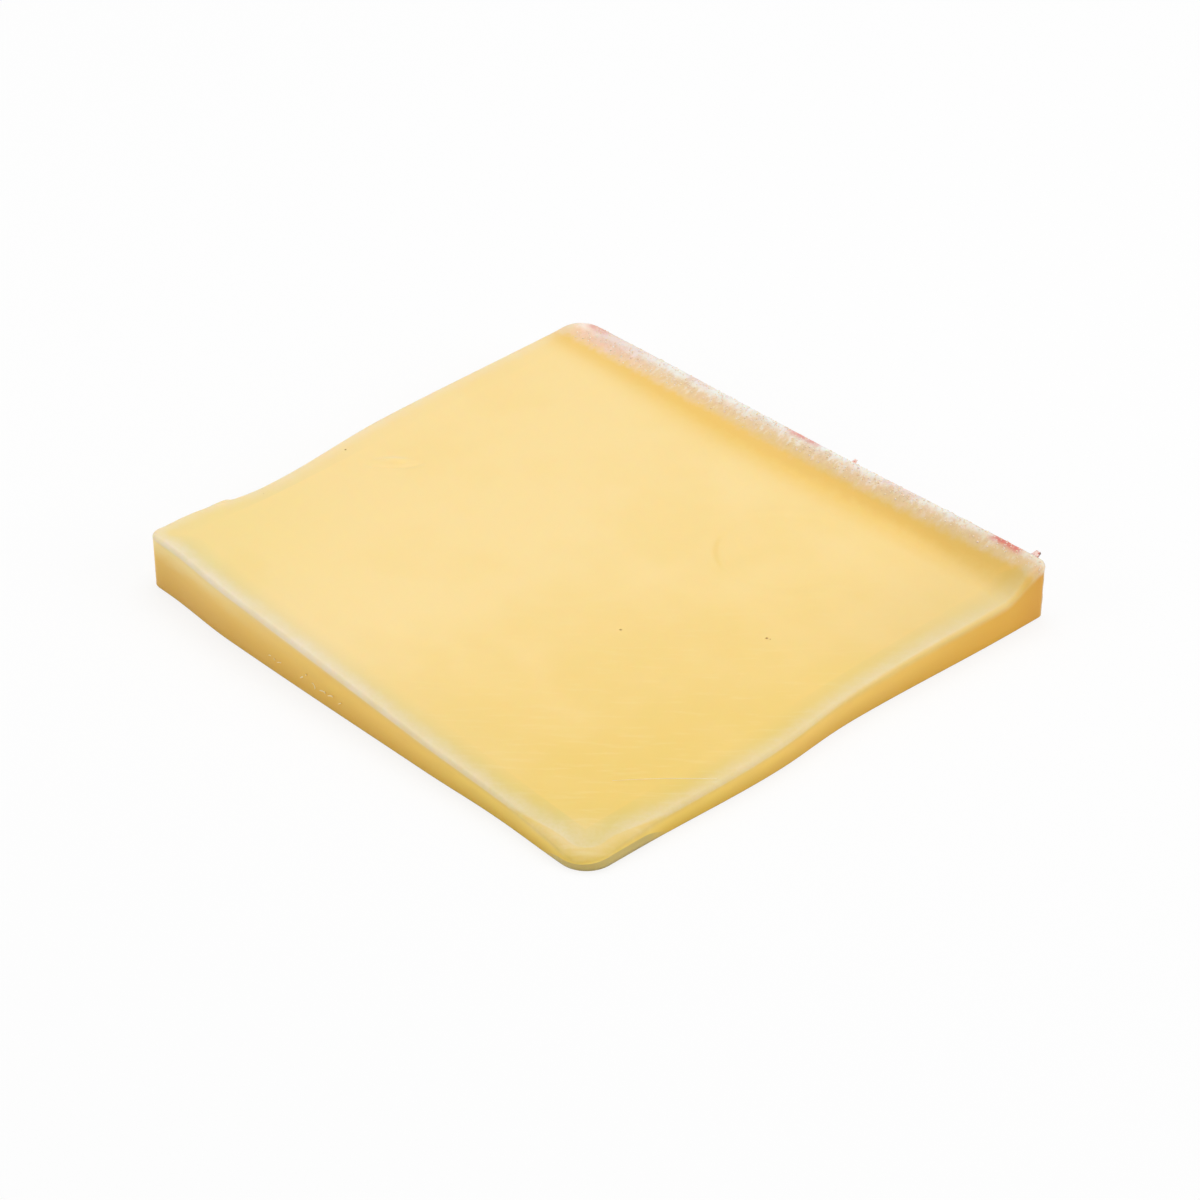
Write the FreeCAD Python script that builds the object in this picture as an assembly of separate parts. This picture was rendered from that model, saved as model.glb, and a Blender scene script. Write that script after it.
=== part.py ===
"""A flat slab of hard alpine cheese: three cut sides, and the rind left on the fourth.

Millimetres, +Z up. The slab lies on its flat underside. X runs along the rind and +Y points at
it. The origin is at the middle of the box round the slab, on the underside.

Seen from above, the corners are the heel (front left, where the slab is thickest), the toe
(front right, where it thins out), and the two ends of the rind (back right and back left).
"""
import FreeCAD, Part

import math
import os

from FreeCAD import Vector

# Ground outline, before its corners are rounded
length = 137.4              # along the rind
depth = 127.4               # from the front cut to the rind
left_splay = 1.8            # how far the left cut comes in at the heel
right_splay = 3.0           # how far the right cut comes in at the toe
heel_setback = 1.0          # how far the front cut falls back at the heel
rind_skew = 1.8             # how far the rind falls back at its left end

# Radii of the upright corners
heel_round = 2.6
toe_round = 6.5
back_right_round = 1.6
back_left_round = 6.0

# Height of the top over the bed
heel_height = 12.8
toe_height = 4.3
back_right_height = 8.7     # of the paste, where it meets the rind
back_left_height = 12.0
rind_left_height = 12.3     # of the stiff rind, which stands proud of the paste
rind_right_height = 13.6
heel_flat = 0.10            # share of the front side that stays level by the heel
front_ease = 0.5            # how far the fall along the front eases in and out: 0 straight, 1 fully
rise_ease = 0.4             # the same for the change from the front to the rind
sag = 0.8                   # how far the top sinks along the left cut
sag_place = 0.24            # where it is deepest, as a share of the depth, and its reach each way
sag_reach_front = 0.16
sag_reach_back = 0.40
sag_width = 30.0
toe_droop = 1.4             # how far the top rolls down round the toe
toe_droop_reach = 12.0

# The crest of the rind, and the ramp from it down to the paste
crest_width = 1.4
ramp_width = 8.6

# Softened edge between the top and the sides
rim_round = 1.5

# Bows of each side: place along it (0 to 1), reach before and after that place, height outwards
front_bows = [(0.20, 0.18, 0.75, 1.05), (0.84, 0.16, 0.16, -0.4)]
right_bows = [(0.32, 0.26, 0.20, 0.7), (0.57, 0.20, 0.38, -1.0)]
rind_bows = [(0.45, 0.40, 0.45, -0.5)]
left_bows = [(0.77, 0.32, 0.19, -2.1)]

# Fineness of the freeform curves and of the top
side_stations = 25
top_columns = 30
paste_rows = 26
ramp_rows = 10
top_margin = 8.0            # how far the top's surface runs past the outline


def smooth(share):
    """Ease from 0 to 1, level at both ends and held beyond them."""
    share = min(max(share, 0.0), 1.0)
    return share * share * (3.0 - 2.0 * share)


def swell(place, centre, before, after):
    """Round hump: 1 at its centre and 0, with no slope, at its reach on either side."""
    reach = before if place < centre else after
    distance = min(abs(place - centre) / reach, 1.0)
    return 0.5 * (1.0 + math.cos(math.pi * distance))


def between(start, end, share):
    return start + (end - start) * share


def outline_corners():
    """Sharp corners of the ground outline, counter-clockwise from the heel."""
    half_length = length / 2
    half_depth = depth / 2
    heel = Vector(left_splay - half_length, heel_setback - half_depth, 0)
    toe = Vector(half_length - right_splay, -half_depth, 0)
    back_right = Vector(half_length, half_depth, 0)
    back_left = Vector(-half_length, half_depth - rind_skew, 0)
    return [heel, toe, back_right, back_left]


def corner_arc(before, corner, after, radius):
    """Start, middle and end of the arc that rounds one corner."""
    to_before = (before - corner).normalize()
    to_after = (after - corner).normalize()
    half_angle = to_before.getAngle(to_after) / 2
    inwards = (to_before + to_after).normalize()
    centre = corner + inwards * (radius / math.sin(half_angle))
    run = radius / math.tan(half_angle)
    return corner + to_before * run, centre - inwards * radius, corner + to_after * run


def bowed_side(start, end, bows):
    """Edge from start to end that leaves and arrives along the chord and bows in between."""
    along = (end - start).normalize()
    outwards = along.cross(Vector(0, 0, 1))
    points = []
    for station in range(side_stations + 1):
        place = station / side_stations
        bow = sum(rise * swell(place, centre, before, after) for centre, before, after, rise in bows)
        points.append(between(start, end, place) + outwards * bow)
    curve = Part.BSplineCurve()
    curve.interpolate(Points=points, InitialTangent=along, FinalTangent=along)
    return curve.toShape()


def ground_outline():
    """Closed wire of four bowed sides joined by tangent arcs."""
    corners = outline_corners()
    radii = [heel_round, toe_round, back_right_round, back_left_round]
    bows = [front_bows, right_bows, rind_bows, left_bows]
    count = len(corners)
    arcs = [corner_arc(corners[i - 1], corners[i], corners[(i + 1) % count], radii[i]) for i in range(count)]
    edges = []
    for i, (arc_start, arc_middle, arc_end) in enumerate(arcs):
        next_start = arcs[(i + 1) % count][0]
        edges.append(Part.Arc(arc_start, arc_middle, arc_end).toShape())
        edges.append(bowed_side(arc_end, next_start, bows[i]))
    return Part.Wire(edges)


def rind_line(x):
    """Y of the rind's outer face, without its bow."""
    return depth / 2 - rind_skew * (0.5 - x / length)


def eased(share, ease):
    """A straight change, or a smooth one, or a mix of the two."""
    return between(share, smooth(share), ease)


def paste_height(across, inwards):
    """Height of the cut paste, by shares of the length from the left and of the depth from the front."""
    falling = max(across - heel_flat, 0.0) / (1.0 - heel_flat)
    front = between(heel_height, toe_height, eased(falling, front_ease))
    back = between(back_left_height, back_right_height, across)
    return between(front, back, eased(inwards, rise_ease))


def left_sag(x, inwards):
    """How far the top sinks by the left cut."""
    nearness = smooth(1.0 - (x + length / 2) / sag_width)
    return sag * nearness * swell(inwards, sag_place, sag_reach_front, sag_reach_back)


def toe_roll(x, y):
    """How far the top rolls down by the toe."""
    toe = outline_corners()[1]
    distance = math.hypot(x - toe.x, y - toe.y)
    return toe_droop * smooth(1.0 - distance / toe_droop_reach)


def top_height(x, y):
    """Height of the whole top: the paste, and the ramp from it up to the crest of the rind."""
    across = min(max(0.5 + x / length, 0.0), 1.0)
    inwards = min(max(0.5 + y / depth, 0.0), 1.0)
    paste = paste_height(across, inwards) - left_sag(x, inwards) - toe_roll(x, y)
    crest = between(rind_left_height, rind_right_height, across)
    from_rind = rind_line(x) - y
    return between(crest, paste, smooth((from_rind - crest_width) / ramp_width))


def top_surface():
    """Freeform surface of the top, a little larger than the outline, with close rows at the rind."""
    columns = [between(-length / 2 - top_margin, length / 2 + top_margin, i / top_columns)
               for i in range(top_columns + 1)]
    ramp_end = crest_width + ramp_width
    paste_depth = depth + top_margin - ramp_end
    distances = [ramp_end + paste_depth * i / paste_rows for i in range(paste_rows, 0, -1)]
    distances += [between(ramp_end, -top_margin, i / ramp_rows) for i in range(ramp_rows + 1)]
    grid = []
    for x in columns:
        places = [(x, rind_line(x) - distance) for distance in distances]
        grid.append([Vector(x, y, top_height(x, y)) for x, y in places])
    surface = Part.BSplineSurface()
    surface.interpolate(grid)
    return surface


def rim_edges(slab):
    """Edges round the top, which is the only face made from a B-spline surface."""
    top = next(face for face in slab.Faces if isinstance(face.Surface, Part.BSplineSurface))
    return top.Edges


def cheese_slab():
    """The slab: the outline raised, cut off at the top surface, and softened along the rim."""
    raised = heel_height + rind_right_height
    block = Part.Face(ground_outline()).extrude(Vector(0, 0, raised))
    waste = top_surface().toShape().extrude(Vector(0, 0, 2 * raised))
    slab = block.cut(waste)
    return slab.makeFillet(rim_round, rim_edges(slab))


def centred(shape):
    """The same shape with the origin at the middle of its box, on the underside."""
    box = shape.optimalBoundingBox()
    moved = shape.copy()
    moved.translate(Vector(-box.Center.x, -box.Center.y, -box.ZMin))
    return moved


os.makedirs("parts", exist_ok=True)
centred(cheese_slab()).exportStep("parts/cheese_slab.step")
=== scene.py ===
"""A flat slab of alpine cheese: three waxy cut sides, and the dry pressed rind along the back.

The slab's outline and top follow the same sizes as its solid, in metres. On them come the soft
pale rim, partly painted sheen, the crumbly crust by the rind, the marks in the paste with painted
highlights and shade, painted shade on the cut sides, and loose grains and shavings.
"""
import math

import bpy
import numpy as np
from bpy.props import FloatProperty, FloatVectorProperty, IntProperty
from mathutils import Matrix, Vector, noise


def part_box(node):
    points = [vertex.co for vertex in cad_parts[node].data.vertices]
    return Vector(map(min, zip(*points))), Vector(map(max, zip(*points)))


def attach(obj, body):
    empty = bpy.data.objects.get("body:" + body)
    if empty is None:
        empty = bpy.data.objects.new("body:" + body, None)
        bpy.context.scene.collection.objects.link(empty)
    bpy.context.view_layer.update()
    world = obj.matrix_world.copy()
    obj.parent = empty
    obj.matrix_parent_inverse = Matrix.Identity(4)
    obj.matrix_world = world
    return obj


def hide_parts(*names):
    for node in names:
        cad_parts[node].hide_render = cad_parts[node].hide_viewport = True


bl_info = {
    "name": "Cheese Slab",
    "version": (1, 0, 0),
    "blender": (4, 5, 0),
    "location": "3D View > Sidebar > Cheese",
    "description": "Builds a slab of alpine cheese with its rind, crumbs and studio",
    "category": "Add Mesh",
}

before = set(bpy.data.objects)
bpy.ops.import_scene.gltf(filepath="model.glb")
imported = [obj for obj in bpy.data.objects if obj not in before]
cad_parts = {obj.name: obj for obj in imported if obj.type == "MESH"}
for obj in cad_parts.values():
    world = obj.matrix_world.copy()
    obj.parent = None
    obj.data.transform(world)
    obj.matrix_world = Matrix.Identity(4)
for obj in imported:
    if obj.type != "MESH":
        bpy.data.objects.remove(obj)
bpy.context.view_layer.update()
NODE = "cheese_slab"
BODY = "root"
SLAB_LOW, SLAB_HIGH = (Vector(corner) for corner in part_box(NODE))
MM = 0.001

# Corners and sides are numbered counter-clockwise from the heel, at the front left
HEEL, TOE, BACK_RIGHT, BACK_LEFT = range(4)
FRONT, RIGHT, RIND, LEFT = range(4)

# Bows of each side: place along it (0 to 1), reach before and after that place, height outwards
SIDE_BOWS = {
    FRONT: [(0.20, 0.18, 0.75, 1.05 * MM), (0.84, 0.16, 0.16, -0.4 * MM)],
    RIGHT: [(0.32, 0.26, 0.20, 0.7 * MM), (0.57, 0.20, 0.38, -1.0 * MM)],
    RIND: [(0.45, 0.40, 0.45, -0.5 * MM)],
    LEFT: [(0.77, 0.32, 0.19, -2.1 * MM)],
}

# How the top falls and sags, in shares of the length or the depth, as in the solid
HEEL_FLAT = 0.10        # of the front side, which stays level by the heel
FRONT_EASE = 0.5        # how far the fall along the front eases in and out
RISE_EASE = 0.4         # the same from the front to the rind
SAG_PLACE = 0.24        # where the sag by the left cut is deepest, and its reach each way
SAG_REACH_FRONT = 0.16
SAG_REACH_BACK = 0.40

# The softer right end of the rind: where it starts, as a share of the length, and how much
# narrower the crest is there and how much wider the ramp
SOFT_END = 0.80
SOFT_CREST = 0.5
SOFT_RAMP = 1.35


def shade(red, green, blue):
    """Linear colour from three display values of 0 to 255."""
    return tuple(((value / 255 + 0.055) / 1.055) ** 2.4 for value in (red, green, blue))


def length_size(name, description, millimetres):
    """A length that the sidebar shows, given here in millimetres."""
    return FloatProperty(name=name, description=description, default=millimetres * MM, unit="LENGTH",
                         precision=5)


def colour_choice(name, description, display):
    """A colour that the sidebar shows, given here in display values."""
    return FloatVectorProperty(name=name, description=description, default=shade(*display), size=3,
                               subtype="COLOR", min=0.0, max=1.0)


class SlabShape(bpy.types.PropertyGroup):
    """Sizes of the slab, as in its solid, and of its softened edges."""

    left_splay: length_size("Left splay", "How far the left cut comes in at the heel", 1.8)
    right_splay: length_size("Right splay", "How far the right cut comes in at the toe", 3.0)
    heel_setback: length_size("Heel setback", "How far the front cut falls back at the heel", 1.0)
    rind_skew: length_size("Rind skew", "How far the rind falls back at its left end", 1.8)
    heel_round: length_size("Heel radius", "Radius of the upright corner at the heel", 2.6)
    toe_round: length_size("Toe radius", "Radius of the upright corner at the toe", 6.5)
    back_right_round: length_size("Back right radius", "Radius at the right end of the rind", 1.6)
    back_left_round: length_size("Back left radius", "Radius at the left end of the rind", 6.0)
    heel_height: length_size("Heel height", "Height of the top at the heel", 12.8)
    toe_height: length_size("Toe height", "Height of the top at the toe, before it rolls down", 4.3)
    back_right_height: length_size("Back right height", "Height of the paste at its right end", 8.7)
    back_left_height: length_size("Back left height", "Height of the paste at its left end", 12.0)
    rind_left_height: length_size("Rind left height", "Height of the crest at its left end", 12.3)
    rind_right_height: length_size("Rind right height", "Height of the crest at its right end", 13.6)
    sag: length_size("Sag", "How far the top sinks along the left cut", 0.8)
    sag_width: length_size("Sag width", "How far in from the left cut the sag reaches", 30.0)
    toe_droop: length_size("Toe droop", "How far the top rolls down round the toe", 1.4)
    toe_droop_reach: length_size("Toe droop reach", "How far from the toe the roll starts", 12.0)
    crest_width: length_size("Crest width", "Width of the level crest of the rind", 1.4)
    ramp_width: length_size("Ramp width", "Width of the ramp from the crest down to the paste", 8.6)
    cut_rim: length_size("Cut rim radius", "Radius of the edge over the front and right cuts", 0.75)
    left_rim: length_size("Left rim radius", "Radius of the edge over the left cut and the rind", 1.4)
    corner_rim: length_size("Corner rim radius", "Radius of the edge by the right end of the rind", 2.0)
    toe_rim: length_size("Toe rim width", "Width of the bevel round the toe", 3.2)
    toe_rim_drop: length_size("Toe rim drop", "Height of the bevel round the toe", 1.1)
    crease_height: length_size("Crease height", "Height of the crease over the foot of the toe", 2.6)
    crease_tip: length_size("Crease height at the tip", "The same at the toe's very corner", 1.7)
    crease_front: length_size("Crease on the front", "How far it runs along the front", 13.0)
    crease_right: length_size("Crease on the right", "How far it runs along the right side", 23.5)
    overhang: length_size("Overhang", "How far the crease stands out over the foot", 0.3)
    border: length_size("Border", "Width of the rings of faces inside the rim", 7.0)
    columns: IntProperty(name="Columns", description="Faces along the rind", default=290, min=20)
    rows: IntProperty(name="Rows", description="Faces from the front to the rind", default=190, min=20)


class PasteLook(bpy.types.PropertyGroup):
    """Colours of the cut paste."""

    top: colour_choice("Top", "Thick paste seen from above", (252, 221, 152))
    # Painted shade: the paste deepens where the slab is low and thin, towards the front and the toe.
    thin: colour_choice("Thin", "Paste where the slab thins out", (238, 203, 98))
    # Painted shade: the sides are a deeper, darker copy of the paste, deepening further to the foot.
    wall: colour_choice("Side", "Upper part of the cut sides", (248, 206, 98))
    foot: colour_choice("Foot", "Foot of the cut sides", (228, 179, 66))
    # The rim's white is partly dried paste and partly painted sheen of the light on the rounded edge.
    rim: colour_choice("Rim", "Dried, whitish edge round the top", (240, 226, 204))
    # Painted shade: the cut under the crease of the toe is darkened as it lies in shade.
    shade: colour_choice("Facet", "Dull cut under the crease of the toe", (205, 181, 103))


class RindLook(bpy.types.PropertyGroup):
    """Colours and roughness of the rind and of the paste under it."""

    crust: colour_choice("Crust", "Dry outer edge of the crust", (255, 245, 229))
    blush: colour_choice("Blush", "Pinkish inner part of the crust", (244, 209, 163))
    gold: colour_choice("Gold", "Dark paste at the foot of the crust", (240, 197, 100))
    skin: colour_choice("Skin", "Outer face of the rind", (206, 178, 138))
    stain: colour_choice("Stain", "Red food colour rubbed on the rind", (216, 104, 94))
    roughness: length_size("Roughness", "Height of the bumps on the crust", 0.26)


class GrainSettings(bpy.types.PropertyGroup):
    """Loose grains on the crust."""

    density: FloatProperty(name="Density", description="Grains per square metre", default=1.3e6, min=0.0)
    smallest: length_size("Smallest", "Radius of the smallest grain", 0.10)
    largest: length_size("Largest", "Radius of the largest grain", 0.26)
    seed: IntProperty(name="Seed", description="Seed of the grains' places and sizes", default=7)


class StudioSettings(bpy.types.PropertyGroup):
    """Floor, lights and camera."""

    floor_size: length_size("Floor size", "Side of the floor", 4000.0)
    camera_distance: length_size("Camera distance", "From the camera to the point it looks at", 790.0)
    azimuth: FloatProperty(name="Azimuth", description="Turn of the camera from the front",
                           subtype="ANGLE", default=math.radians(46.5))
    elevation: FloatProperty(name="Elevation", description="Height of the camera over the floor",
                             subtype="ANGLE", default=math.radians(35.5))
    lens: FloatProperty(name="Lens", description="Focal length on a 36 mm wide sensor", default=114.5,
                        unit="CAMERA")
    room: FloatProperty(name="Room", description="Strength of the light from all round",
                        default=0.48, min=0.0)


# Shape of the slab ------------------------------------------------------------------------------


def smooth(share):
    """Ease from 0 to 1, level at both ends and held beyond them."""
    share = np.clip(share, 0.0, 1.0)
    return share * share * (3.0 - 2.0 * share)


def swell(place, centre, before, after):
    """Round hump: 1 at its centre and 0, with no slope, at its reach on either side."""
    reach = np.where(place < centre, before, after)
    distance = np.minimum(np.abs(place - centre) / reach, 1.0)
    return 0.5 * (1.0 + np.cos(np.pi * distance))


def between(start, end, share):
    """The value this share of the way from start to end."""
    return start + (end - start) * share


def eased(share, ease):
    """A straight change, or a smooth one, or a mix of the two."""
    return between(share, smooth(share), ease)


def slab_length():
    return SLAB_HIGH.x - SLAB_LOW.x


def slab_depth():
    return SLAB_HIGH.y - SLAB_LOW.y


def sharp_corners(shape):
    """Corners of the ground outline before they are rounded."""
    half_length = slab_length() / 2
    half_depth = slab_depth() / 2
    return np.array([
        (shape.left_splay - half_length, shape.heel_setback - half_depth),
        (half_length - shape.right_splay, -half_depth),
        (half_length, half_depth),
        (-half_length, half_depth - shape.rind_skew),
    ])


def unit(vector):
    return vector / np.linalg.norm(vector)


def corner_frame(corners, index):
    """Directions from one corner to its neighbours and inwards, and half its angle."""
    to_before = unit(corners[index - 1] - corners[index])
    to_after = unit(corners[(index + 1) % 4] - corners[index])
    half_angle = math.acos(float(to_before @ to_after)) / 2
    return to_before, to_after, unit(to_before + to_after), half_angle


def corner_arc(corners, index, radius, samples=24):
    """Points along the arc that rounds one corner."""
    to_before, _, inwards, half_angle = corner_frame(corners, index)
    centre = corners[index] + inwards * (radius / math.sin(half_angle))
    run = radius / math.tan(half_angle)
    start = corners[index] + to_before * run - centre
    turn = math.pi - 2 * half_angle
    first = math.atan2(start[1], start[0])
    angles = np.linspace(first, first + turn, 2 * samples + 1)
    return centre + radius * np.stack([np.cos(angles), np.sin(angles)], axis=1)


def bowed_side(start, end, bows, samples=300):
    """Points from start to end, bowed in between."""
    places = np.linspace(0.0, 1.0, samples)[:, None]
    along = unit(end - start)
    outwards = np.array([along[1], -along[0]])
    bow = sum(rise * swell(places, centre, before, after) for centre, before, after, rise in bows)
    return between(start, end, places) + outwards * bow


def fitted(points):
    """The outline moved and trimmed to the solid's box."""
    low = points.min(axis=0)
    high = points.max(axis=0)
    box_low = np.array(SLAB_LOW[:2])
    box_high = np.array(SLAB_HIGH[:2])
    return box_low + (points - low) / (high - low) * (box_high - box_low)


def outline_sides(shape):
    """The four sides of the outline, each from the middle of one corner's arc to the next one's."""
    corners = sharp_corners(shape)
    radii = [shape.heel_round, shape.toe_round, shape.back_right_round, shape.back_left_round]
    arcs = [corner_arc(corners, index, radii[index]) for index in range(4)]
    middle = len(arcs[0]) // 2
    sides = []
    for side in (FRONT, RIGHT, RIND, LEFT):
        here = arcs[side]
        there = arcs[(side + 1) % 4]
        straight = bowed_side(here[-1], there[0], SIDE_BOWS[side])
        sides.append(np.concatenate([here[middle:-1], straight, there[1:middle + 1]]))
    ends = np.cumsum([0] + [len(side) for side in sides])
    whole = fitted(np.concatenate(sides))
    return [whole[ends[i]:ends[i + 1]] for i in range(4)]


def stations(shape):
    """Points round the outline, one for each column or row, with inward directions and sides."""
    points, inwards, sides, places = [], [], [], []
    for side, curve in enumerate(outline_sides(shape)):
        count = shape.columns if side in (FRONT, RIND) else shape.rows
        steps = np.linalg.norm(np.diff(curve, axis=0), axis=1)
        run = np.concatenate([[0.0], np.cumsum(steps)])
        slope = np.stack([np.gradient(curve[:, 0], run), np.gradient(curve[:, 1], run)], axis=1)
        share = np.arange(count) / count
        at = share * run[-1]
        here = np.stack([np.interp(at, run, curve[:, axis]) for axis in (0, 1)], axis=1)
        along = np.stack([np.interp(at, run, slope[:, axis]) for axis in (0, 1)], axis=1)
        along /= np.linalg.norm(along, axis=1)[:, None]
        points.append(here)
        inwards.append(np.stack([-along[:, 1], along[:, 0]], axis=1))
        sides.append(np.full(count, side))
        places.append(share)
    return tuple(np.concatenate(parts) for parts in (points, inwards, sides, places))


def inner_corners(shape):
    """Corners of the four-sided middle of the top, inside the border."""
    corners = sharp_corners(shape)
    result = []
    for index in range(4):
        _, _, inwards, half_angle = corner_frame(corners, index)
        result.append(corners[index] + inwards * (shape.border / math.sin(half_angle)))
    return result


def rind_line(shape, x):
    """Y of the rind's outer face, without its bow."""
    return slab_depth() / 2 - shape.rind_skew * (0.5 - x / slab_length())


def paste_height(shape, across, inwards):
    """Height of the cut paste, by shares of the length from the left and of the depth from the front."""
    falling = np.maximum(across - HEEL_FLAT, 0.0) / (1.0 - HEEL_FLAT)
    front = between(shape.heel_height, shape.toe_height, eased(falling, FRONT_EASE))
    back = between(shape.back_left_height, shape.back_right_height, across)
    return between(front, back, eased(inwards, RISE_EASE))


def left_sag(shape, x, inwards):
    """How far the top sinks by the left cut."""
    nearness = smooth(1.0 - (x + slab_length() / 2) / shape.sag_width)
    return shape.sag * nearness * swell(inwards, SAG_PLACE, SAG_REACH_FRONT, SAG_REACH_BACK)


def toe_nearness(shape, x, y, reach):
    """1 at the toe's corner, easing to 0 at the reach."""
    toe = sharp_corners(shape)[TOE]
    return smooth(1.0 - np.hypot(x - toe[0], y - toe[1]) / reach)


def top_height(shape, x, y):
    """Height of the top: the paste, and the ramp from it up to the crest of the rind."""
    across = np.clip(0.5 + x / slab_length(), 0.0, 1.0)
    inwards = np.clip(0.5 + y / slab_depth(), 0.0, 1.0)
    paste = paste_height(shape, across, inwards) - left_sag(shape, x, inwards)
    paste -= shape.toe_droop * toe_nearness(shape, x, y, shape.toe_droop_reach)
    crest = between(shape.rind_left_height, shape.rind_right_height, across)
    from_rind = rind_line(shape, x) - y
    by_end = smooth((across - SOFT_END) / (1.0 - SOFT_END))
    crest_width = shape.crest_width * between(1.0, SOFT_CREST, by_end)
    ramp_width = shape.ramp_width * between(1.0, SOFT_RAMP, by_end)
    return between(crest, paste, smooth((from_rind - crest_width) / ramp_width))


# Relief -----------------------------------------------------------------------------------------

# The marks in the top: the line that the first two lie along, then for each mark its place and
# its half sizes along and across. A ridge or groove of a mark is given as its height or depth, and
# its place and width in shares of the mark's radius.
MARK_LINE = (0.688, 0.725)
RING_PLACE = (25.3 * MM, 31.8 * MM)
RING_HALF = (15.0 * MM, 12.6 * MM)
RING_CRESCENT = (0.24 * MM, 0.96, 0.045)
RING_GROOVE = (0.05 * MM, 0.95, 0.10)
RING_LIP = (0.08 * MM, 1.15, 0.12)
RING_DISH = 0.12 * MM
BLISTER_PLACE = (-52.8 * MM, -7.7 * MM)
BLISTER_HALF = (5.6 * MM, 2.1 * MM)
BLISTER_LUMP = 0.62 * MM
BLISTER_CREASE = (0.24 * MM, 1.05, 0.18)
TORN_EDGE_LINE = (0.12, 0.99)
TORN_EDGE_PLACE = (-66.5 * MM, -43.0 * MM)
TORN_EDGE_HALF = (6.0 * MM, 2.6 * MM)
TORN_EDGE_LUMP = 0.75 * MM

# The crust: its width at the two ends of the rind, as shares of 10 mm, where its crumbs thin out
# in a measure in which it is 10 mm wide, and how far from the left end it starts
CRUST_WIDTHS = (0.94, 0.55)
CRUST_CORE = 6.0 * MM
CRUST_FADE = 3.2 * MM
CRUST_START = 2.0 * MM
CRUST_START_FADE = 5.0 * MM

# Painted highlight and shade of the ring's crescent: strength, place and width
CRESCENT_HIGHLIGHT = (0.45, 0.86, 0.05)
CRESCENT_SHADE = (1.0, 0.97, 0.05)

# Layers of noise: height, size of the lumps and seed
TOP_SWAYS = [(0.10 * MM, 27 * MM, 1), (0.035 * MM, 8 * MM, 2)]
SIDE_RIPPLES = [(0.05 * MM, 9 * MM, 5), (0.02 * MM, 2.5 * MM, 6)]


def bumps(points, size, seed):
    """Smooth noise of about -1 to 1 whose lumps have this size."""
    shift = Vector((seed * 17.3, seed * -9.1, seed * 5.7))
    return np.array([noise.noise(Vector(point) / size + shift) for point in points])


def layered(points, layers):
    """Layers of noise laid over each other."""
    return sum(height * bumps(points, size, seed) for height, size, seed in layers)


def ridge(distance, height, place, width):
    """Round ridge: full at its place, and next to nothing at twice its width from there."""
    return height * np.exp(-((distance - place) / width) ** 2)


def local_axes(x, y, place, half, along=MARK_LINE):
    """Distances from a mark's middle along and across it, as shares of its half sizes."""
    dx = x - place[0]
    dy = y - place[1]
    return (dx * along[0] + dy * along[1]) / half[0], (dy * along[0] - dx * along[1]) / half[1]


def ring_mark(x, y):
    """A faint pressed ring, with a deeper crescent at its left end and a soft lip outside."""
    u, v = local_axes(x, y, RING_PLACE, RING_HALF)
    radius = np.hypot(u, v)
    crescent = ridge(radius, *RING_CRESCENT) * smooth((-u - 0.78) / 0.14)
    dish = RING_DISH * (1.0 - smooth(radius / 0.95))
    return ridge(radius, *RING_LIP) - crescent - ridge(radius, *RING_GROOVE) - dish


def blister(x, y):
    """A small flat oval lump with a crease on its near side."""
    u, v = local_axes(x, y, BLISTER_PLACE, BLISTER_HALF)
    radius = np.hypot(u, v)
    lump = BLISTER_LUMP * (1.0 - smooth(radius))
    return lump - ridge(radius, *BLISTER_CREASE) * smooth(0.6 - v)


def mark_light_and_shade(x, y):
    """Painted highlight and shade of the marks: paler than the top up to 1, deeper down to -1."""
    u, v = local_axes(x, y, RING_PLACE, RING_HALF)
    radius = np.hypot(u, v)
    at_left = smooth((-u - 0.84) / 0.12)
    crescent = ridge(radius, *CRESCENT_HIGHLIGHT) - ridge(radius, *CRESCENT_SHADE)
    u, v = local_axes(x, y, BLISTER_PLACE, BLISTER_HALF)
    halves = np.clip(1.4 * v, -0.6, 1.0) * (1.0 - smooth(np.hypot(0.9 * u, 0.7 * v)))
    return 0.55 * crescent * at_left + halves


def torn_edge(x, y):
    """A lump on the left rim where the cut tore, which rises slowly and ends short."""
    u, v = local_axes(x, y, TORN_EDGE_PLACE, TORN_EDGE_HALF, along=TORN_EDGE_LINE)
    steep = np.where(u > 0.0, 3.0 * u, u)
    return TORN_EDGE_LUMP * (1.0 - smooth(np.hypot(steep, v)))


def crust_distance(x, from_rind):
    """Distance from the rind in which the crust is 10 mm wide, though it narrows to the right."""
    across = np.clip(0.5 + x / slab_length(), 0.0, 1.0)
    return from_rind / between(*CRUST_WIDTHS, across)


def crust_share(x, from_rind):
    """1 on the crumbly crust, easing to 0 at its foot and at the left end of the rind."""
    foot = 1.0 - smooth((crust_distance(x, from_rind) - CRUST_CORE) / CRUST_FADE)
    return foot * smooth((x - SLAB_LOW.x - CRUST_START) / CRUST_START_FADE)


def top_relief(look, x, y, from_rind, calm=1.0):
    """Height of everything finer than the smooth top, with all but the marks calmed near the rim."""
    flat = np.stack([x, y, np.zeros_like(x)], axis=1)
    sway = layered(flat, TOP_SWAYS)
    crust = crust_share(x, from_rind)
    rough = np.zeros_like(x)
    near = crust > 0.0
    ridged = flat[near] * np.array([1.0, 0.5, 1.0])
    lumps = bumps(flat[near], 3.1 * MM, 3) * 0.5 + bumps(ridged, 0.9 * MM, 4) * 0.7
    rough[near] = look.roughness * lumps * crust[near]
    marks = ring_mark(x, y) + blister(x, y) + torn_edge(x, y)
    return (sway * (1.0 - 0.5 * crust) + rough) * calm + marks


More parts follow.
